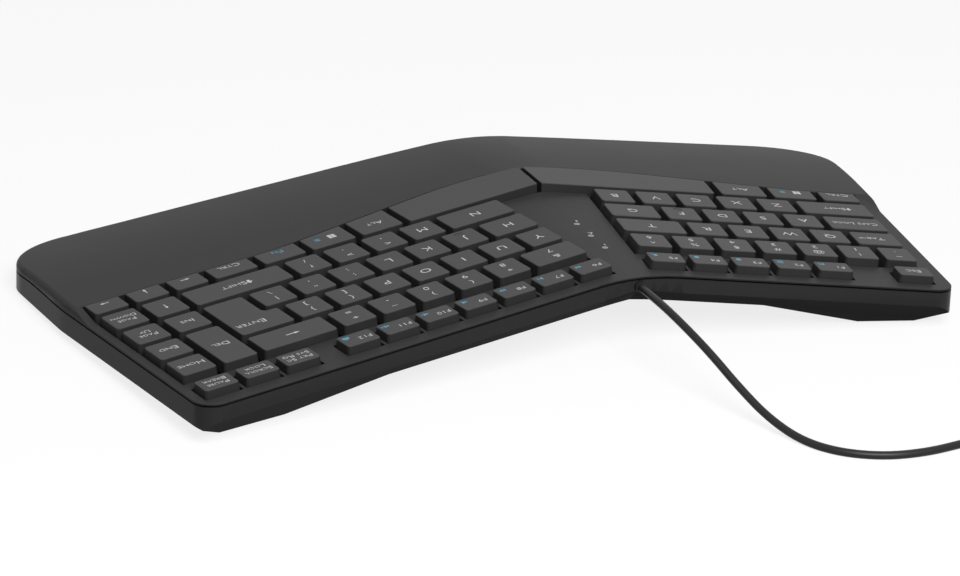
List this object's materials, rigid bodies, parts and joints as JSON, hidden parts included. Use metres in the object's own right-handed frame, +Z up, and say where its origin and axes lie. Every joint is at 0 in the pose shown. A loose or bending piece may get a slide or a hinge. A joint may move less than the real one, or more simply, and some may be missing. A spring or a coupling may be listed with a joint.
{
  "type": "ergonomic keyboard",
  "caption": "Ergonomic split keyboard with an arched body, a joined palm rest, low keycaps over rubber domes, tilt feet and a thin USB lead.",
  "frame": {"origin": "on the desk, under the middle of the housing's bounding box (the lead apart)", "axes": "+X to the user's right along the keyboard, +Y away from the user, +Z up"},
  "size_m": [0.4223, 0.3902, 0.0396],
  "materials": {
    "cover_plastic": "fine matt texture",
    "tub_plastic": "fine matt texture",
    "cap_plastic": "satin",
    "frame_plastic": "matt",
    "dome_rubber": "matt",
    "membrane_film": "clear film",
    "plate_steel": "zinc plated",
    "board": "solder mask",
    "lens_plastic": "translucent",
    "screw_steel": "zinc plated",
    "pad_rubber": "matt",
    "foot_plastic": "matt",
    "lead_jacket": "smooth",
    "tie_plastic": "matt",
    "plug_plastic": "satin",
    "plug_steel": "nickel plated"
  },
  "bodies": {
    "housing": {"top_cover": "cover_plastic", "bottom_cover": "tub_plastic", "key_frame_right": "frame_plastic", "dome_sheet_right": "dome_rubber", "membrane_right": "membrane_film", "base_plate_right": "plate_steel", "key_frame_left": "frame_plastic", "dome_sheet_left": "dome_rubber", "membrane_left": "membrane_film", "base_plate_left": "plate_steel", "controller_board": "board", "indicator_lenses": "lens_plastic", "rubber_feet": "pad_rubber", "case_screws": "screw_steel", "cable_gland": "lead_jacket", "cable": "lead_jacket", "cable_coil": "lead_jacket", "usb_plug_body": "plug_plastic", "usb_plug_shell": "plug_steel", "coil_tie": "tie_plastic"},
    "function_keys_right_body": {"function_keys_right": "cap_plastic"},
    "print_pause_keys_body": {"print_pause_keys": "cap_plastic"},
    "number_keys_right_body": {"number_keys_right": "cap_plastic"},
    "top_letters_right_body": {"top_letters_right": "cap_plastic"},
    "home_letters_right_body": {"home_letters_right": "cap_plastic"},
    "lower_letters_right_body": {"lower_letters_right": "cap_plastic"},
    "backspace_key_body": {"backspace_key": "cap_plastic"},
    "right_shift_key_body": {"right_shift_key": "cap_plastic"},
    "insert_key_body": {"insert_key": "cap_plastic"},
    "arrow_up_key_body": {"arrow_up_key": "cap_plastic"},
    "home_key_body": {"home_key": "cap_plastic"},
    "end_key_body": {"end_key": "cap_plastic"},
    "page_up_key_body": {"page_up_key": "cap_plastic"},
    "page_down_key_body": {"page_down_key": "cap_plastic"},
    "function_keys_left_body": {"function_keys_left": "cap_plastic"},
    "escape_key_body": {"escape_key": "cap_plastic"},
    "number_keys_left_body": {"number_keys_left": "cap_plastic"},
    "backquote_key_body": {"backquote_key": "cap_plastic"},
    "top_letters_left_body": {"top_letters_left": "cap_plastic"},
    "tab_key_body": {"tab_key": "cap_plastic"},
    "home_letters_left_body": {"home_letters_left": "cap_plastic"},
    "caps_lock_key_body": {"caps_lock_key": "cap_plastic"},
    "lower_letters_left_body": {"lower_letters_left": "cap_plastic"},
    "left_shift_key_body": {"left_shift_key": "cap_plastic"},
    "enter_key_body": {"enter_key": "cap_plastic"},
    "delete_key_body": {"delete_key": "cap_plastic"},
    "space_bar_right_body": {"space_bar_right": "cap_plastic"},
    "right_alt_key_body": {"right_alt_key": "cap_plastic"},
    "right_super_key_body": {"right_super_key": "cap_plastic"},
    "fn_key_body": {"fn_key": "cap_plastic"},
    "right_ctrl_key_body": {"right_ctrl_key": "cap_plastic"},
    "arrow_left_key_body": {"arrow_left_key": "cap_plastic"},
    "arrow_down_key_body": {"arrow_down_key": "cap_plastic"},
    "arrow_right_key_body": {"arrow_right_key": "cap_plastic"},
    "space_bar_left_body": {"space_bar_left": "cap_plastic"},
    "left_alt_key_body": {"left_alt_key": "cap_plastic"},
    "left_super_key_body": {"left_super_key": "cap_plastic"},
    "left_ctrl_key_body": {"left_ctrl_key": "cap_plastic"},
    "tilt_foot_right_body": {"tilt_foot_right": "foot_plastic"},
    "tilt_foot_left_body": {"tilt_foot_left": "foot_plastic"}
  },
  "joints": [
    {"name": "function_keys_right_press", "type": "slide", "parent": "housing", "child": "function_keys_right_body", "axis": [-0.0902, 0.0264, -0.9956], "range_m": [0, 0.0026], "stiffness_N_per_m": 840, "springref_m": -0.003, "deforming": ["dome_sheet_right"]},
    {"name": "print_pause_keys_press", "type": "slide", "parent": "housing", "child": "print_pause_keys_body", "axis": [-0.0902, 0.0264, -0.9956], "range_m": [0, 0.0026], "stiffness_N_per_m": 360, "springref_m": -0.003, "deforming": ["dome_sheet_right"]},
    {"name": "number_keys_right_press", "type": "slide", "parent": "housing", "child": "number_keys_right_body", "axis": [-0.0902, 0.0264, -0.9956], "range_m": [0, 0.0026], "stiffness_N_per_m": 720, "springref_m": -0.003, "deforming": ["dome_sheet_right"]},
    {"name": "top_letters_right_press", "type": "slide", "parent": "housing", "child": "top_letters_right_body", "axis": [-0.0902, 0.0264, -0.9956], "range_m": [0, 0.0026], "stiffness_N_per_m": 840, "springref_m": -0.003, "deforming": ["dome_sheet_right"]},
    {"name": "home_letters_right_press", "type": "slide", "parent": "housing", "child": "home_letters_right_body", "axis": [-0.0902, 0.0264, -0.9956], "range_m": [0, 0.0026], "stiffness_N_per_m": 840, "springref_m": -0.003, "deforming": ["dome_sheet_right"]},
    {"name": "lower_letters_right_press", "type": "slide", "parent": "housing", "child": "lower_letters_right_body", "axis": [-0.0902, 0.0264, -0.9956], "range_m": [0, 0.0026], "stiffness_N_per_m": 600, "springref_m": -0.003, "deforming": ["dome_sheet_right"]},
    {"name": "backspace_key_press", "type": "slide", "parent": "housing", "child": "backspace_key_body", "axis": [-0.0902, 0.0264, -0.9956], "range_m": [0, 0.0026], "stiffness_N_per_m": 120, "springref_m": -0.003, "deforming": ["dome_sheet_right"]},
    {"name": "right_shift_key_press", "type": "slide", "parent": "housing", "child": "right_shift_key_body", "axis": [-0.0902, 0.0264, -0.9956], "range_m": [0, 0.0026], "stiffness_N_per_m": 120, "springref_m": -0.003, "deforming": ["dome_sheet_right"]},
    {"name": "insert_key_press", "type": "slide", "parent": "housing", "child": "insert_key_body", "axis": [-0.0902, 0.0264, -0.9956], "range_m": [0, 0.0026], "stiffness_N_per_m": 120, "springref_m": -0.003, "deforming": ["dome_sheet_right"]},
    {"name": "arrow_up_key_press", "type": "slide", "parent": "housing", "child": "arrow_up_key_body", "axis": [-0.0902, 0.0264, -0.9956], "range_m": [0, 0.0026], "stiffness_N_per_m": 120, "springref_m": -0.003, "deforming": ["dome_sheet_right"]},
    {"name": "home_key_press", "type": "slide", "parent": "housing", "child": "home_key_body", "axis": [-0.0902, 0.0264, -0.9956], "range_m": [0, 0.0026], "stiffness_N_per_m": 120, "springref_m": -0.003, "deforming": ["dome_sheet_right"]},
    {"name": "end_key_press", "type": "slide", "parent": "housing", "child": "end_key_body", "axis": [-0.0902, 0.0264, -0.9956], "range_m": [0, 0.0026], "stiffness_N_per_m": 120, "springref_m": -0.003, "deforming": ["dome_sheet_right"]},
    {"name": "page_up_key_press", "type": "slide", "parent": "housing", "child": "page_up_key_body", "axis": [-0.0902, 0.0264, -0.9956], "range_m": [0, 0.0026], "stiffness_N_per_m": 120, "springref_m": -0.003, "deforming": ["dome_sheet_right"]},
    {"name": "page_down_key_press", "type": "slide", "parent": "housing", "child": "page_down_key_body", "axis": [-0.0902, 0.0264, -0.9956], "range_m": [0, 0.0026], "stiffness_N_per_m": 120, "springref_m": -0.003, "deforming": ["dome_sheet_right"]},
    {"name": "function_keys_left_press", "type": "slide", "parent": "housing", "child": "function_keys_left_body", "axis": [0.1301, 0.0262, -0.9912], "range_m": [0, 0.0026], "stiffness_N_per_m": 600, "springref_m": -0.003, "deforming": ["dome_sheet_left"]},
    {"name": "escape_key_press", "type": "slide", "parent": "housing", "child": "escape_key_body", "axis": [0.1301, 0.0262, -0.9912], "range_m": [0, 0.0026], "stiffness_N_per_m": 120, "springref_m": -0.003, "deforming": ["dome_sheet_left"]},
    {"name": "number_keys_left_press", "type": "slide", "parent": "housing", "child": "number_keys_left_body", "axis": [0.1301, 0.0262, -0.9912], "range_m": [0, 0.0026], "stiffness_N_per_m": 720, "springref_m": -0.003, "deforming": ["dome_sheet_left"]},
    {"name": "backquote_key_press", "type": "slide", "parent": "housing", "child": "backquote_key_body", "axis": [0.1301, 0.0262, -0.9912], "range_m": [0, 0.0026], "stiffness_N_per_m": 120, "springref_m": -0.003, "deforming": ["dome_sheet_left"]},
    {"name": "top_letters_left_press", "type": "slide", "parent": "housing", "child": "top_letters_left_body", "axis": [0.1301, 0.0262, -0.9912], "range_m": [0, 0.0026], "stiffness_N_per_m": 600, "springref_m": -0.003, "deforming": ["dome_sheet_left"]},
    {"name": "tab_key_press", "type": "slide", "parent": "housing", "child": "tab_key_body", "axis": [0.1301, 0.0262, -0.9912], "range_m": [0, 0.0026], "stiffness_N_per_m": 120, "springref_m": -0.003, "deforming": ["dome_sheet_left"]},
    {"name": "home_letters_left_press", "type": "slide", "parent": "housing", "child": "home_letters_left_body", "axis": [0.1301, 0.0262, -0.9912], "range_m": [0, 0.0026], "stiffness_N_per_m": 600, "springref_m": -0.003, "deforming": ["dome_sheet_left"]},
    {"name": "caps_lock_key_press", "type": "slide", "parent": "housing", "child": "caps_lock_key_body", "axis": [0.1301, 0.0262, -0.9912], "range_m": [0, 0.0026], "stiffness_N_per_m": 120, "springref_m": -0.003, "deforming": ["dome_sheet_left"]},
    {"name": "lower_letters_left_press", "type": "slide", "parent": "housing", "child": "lower_letters_left_body", "axis": [0.1301, 0.0262, -0.9912], "range_m": [0, 0.0026], "stiffness_N_per_m": 600, "springref_m": -0.003, "deforming": ["dome_sheet_left"]},
    {"name": "left_shift_key_press", "type": "slide", "parent": "housing", "child": "left_shift_key_body", "axis": [0.1301, 0.0262, -0.9912], "range_m": [0, 0.0026], "stiffness_N_per_m": 120, "springref_m": -0.003, "deforming": ["dome_sheet_left"]},
    {"name": "enter_key_press", "type": "slide", "parent": "housing", "child": "enter_key_body", "axis": [-0.0902, 0.0264, -0.9956], "range_m": [0, 0.0026], "stiffness_N_per_m": 120, "springref_m": -0.003, "deforming": ["dome_sheet_right"]},
    {"name": "delete_key_press", "type": "slide", "parent": "housing", "child": "delete_key_body", "axis": [-0.0902, 0.0264, -0.9956], "range_m": [0, 0.0026], "stiffness_N_per_m": 120, "springref_m": -0.003, "deforming": ["dome_sheet_right"]},
    {"name": "space_bar_right_press", "type": "slide", "parent": "housing", "child": "space_bar_right_body", "axis": [-0.0902, 0.0264, -0.9956], "range_m": [0, 0.0026], "stiffness_N_per_m": 120, "springref_m": -0.003, "deforming": ["dome_sheet_right"]},
    {"name": "right_alt_key_press", "type": "slide", "parent": "housing", "child": "right_alt_key_body", "axis": [-0.0902, 0.0264, -0.9956], "range_m": [0, 0.0026], "stiffness_N_per_m": 120, "springref_m": -0.003, "deforming": ["dome_sheet_right"]},
    {"name": "right_super_key_press", "type": "slide", "parent": "housing", "child": "right_super_key_body", "axis": [-0.0902, 0.0264, -0.9956], "range_m": [0, 0.0026], "stiffness_N_per_m": 120, "springref_m": -0.003, "deforming": ["dome_sheet_right"]},
    {"name": "fn_key_press", "type": "slide", "parent": "housing", "child": "fn_key_body", "axis": [-0.0902, 0.0264, -0.9956], "range_m": [0, 0.0026], "stiffness_N_per_m": 120, "springref_m": -0.003, "deforming": ["dome_sheet_right"]},
    {"name": "right_ctrl_key_press", "type": "slide", "parent": "housing", "child": "right_ctrl_key_body", "axis": [-0.0902, 0.0264, -0.9956], "range_m": [0, 0.0026], "stiffness_N_per_m": 120, "springref_m": -0.003, "deforming": ["dome_sheet_right"]},
    {"name": "arrow_left_key_press", "type": "slide", "parent": "housing", "child": "arrow_left_key_body", "axis": [-0.0902, 0.0264, -0.9956], "range_m": [0, 0.0026], "stiffness_N_per_m": 120, "springref_m": -0.003, "deforming": ["dome_sheet_right"]},
    {"name": "arrow_down_key_press", "type": "slide", "parent": "housing", "child": "arrow_down_key_body", "axis": [-0.0902, 0.0264, -0.9956], "range_m": [0, 0.0026], "stiffness_N_per_m": 120, "springref_m": -0.003, "deforming": ["dome_sheet_right"]},
    {"name": "arrow_right_key_press", "type": "slide", "parent": "housing", "child": "arrow_right_key_body", "axis": [-0.0902, 0.0264, -0.9956], "range_m": [0, 0.0026], "stiffness_N_per_m": 120, "springref_m": -0.003, "deforming": ["dome_sheet_right"]},
    {"name": "space_bar_left_press", "type": "slide", "parent": "housing", "child": "space_bar_left_body", "axis": [0.1301, 0.0262, -0.9912], "range_m": [0, 0.0026], "stiffness_N_per_m": 120, "springref_m": -0.003, "deforming": ["dome_sheet_left"]},
    {"name": "left_alt_key_press", "type": "slide", "parent": "housing", "child": "left_alt_key_body", "axis": [0.1301, 0.0262, -0.9912], "range_m": [0, 0.0026], "stiffness_N_per_m": 120, "springref_m": -0.003, "deforming": ["dome_sheet_left"]},
    {"name": "left_super_key_press", "type": "slide", "parent": "housing", "child": "left_super_key_body", "axis": [0.1301, 0.0262, -0.9912], "range_m": [0, 0.0026], "stiffness_N_per_m": 120, "springref_m": -0.003, "deforming": ["dome_sheet_left"]},
    {"name": "left_ctrl_key_press", "type": "slide", "parent": "housing", "child": "left_ctrl_key_body", "axis": [0.1301, 0.0262, -0.9912], "range_m": [0, 0.0026], "stiffness_N_per_m": 120, "springref_m": -0.003, "deforming": ["dome_sheet_left"]},
    {"name": "tilt_foot_right_fold", "type": "hinge", "parent": "housing", "child": "tilt_foot_right_body", "pos_m": [0.14468, 0.08499, 0.0031], "axis": [0.9882, 0.153, 0], "range_deg": [0, 85]},
    {"name": "tilt_foot_left_fold", "type": "hinge", "parent": "housing", "child": "tilt_foot_left_body", "pos_m": [-0.14302, 0.07524, 0.0031], "axis": [0.9882, -0.153, 0], "range_deg": [0, 85]}
  ]
}
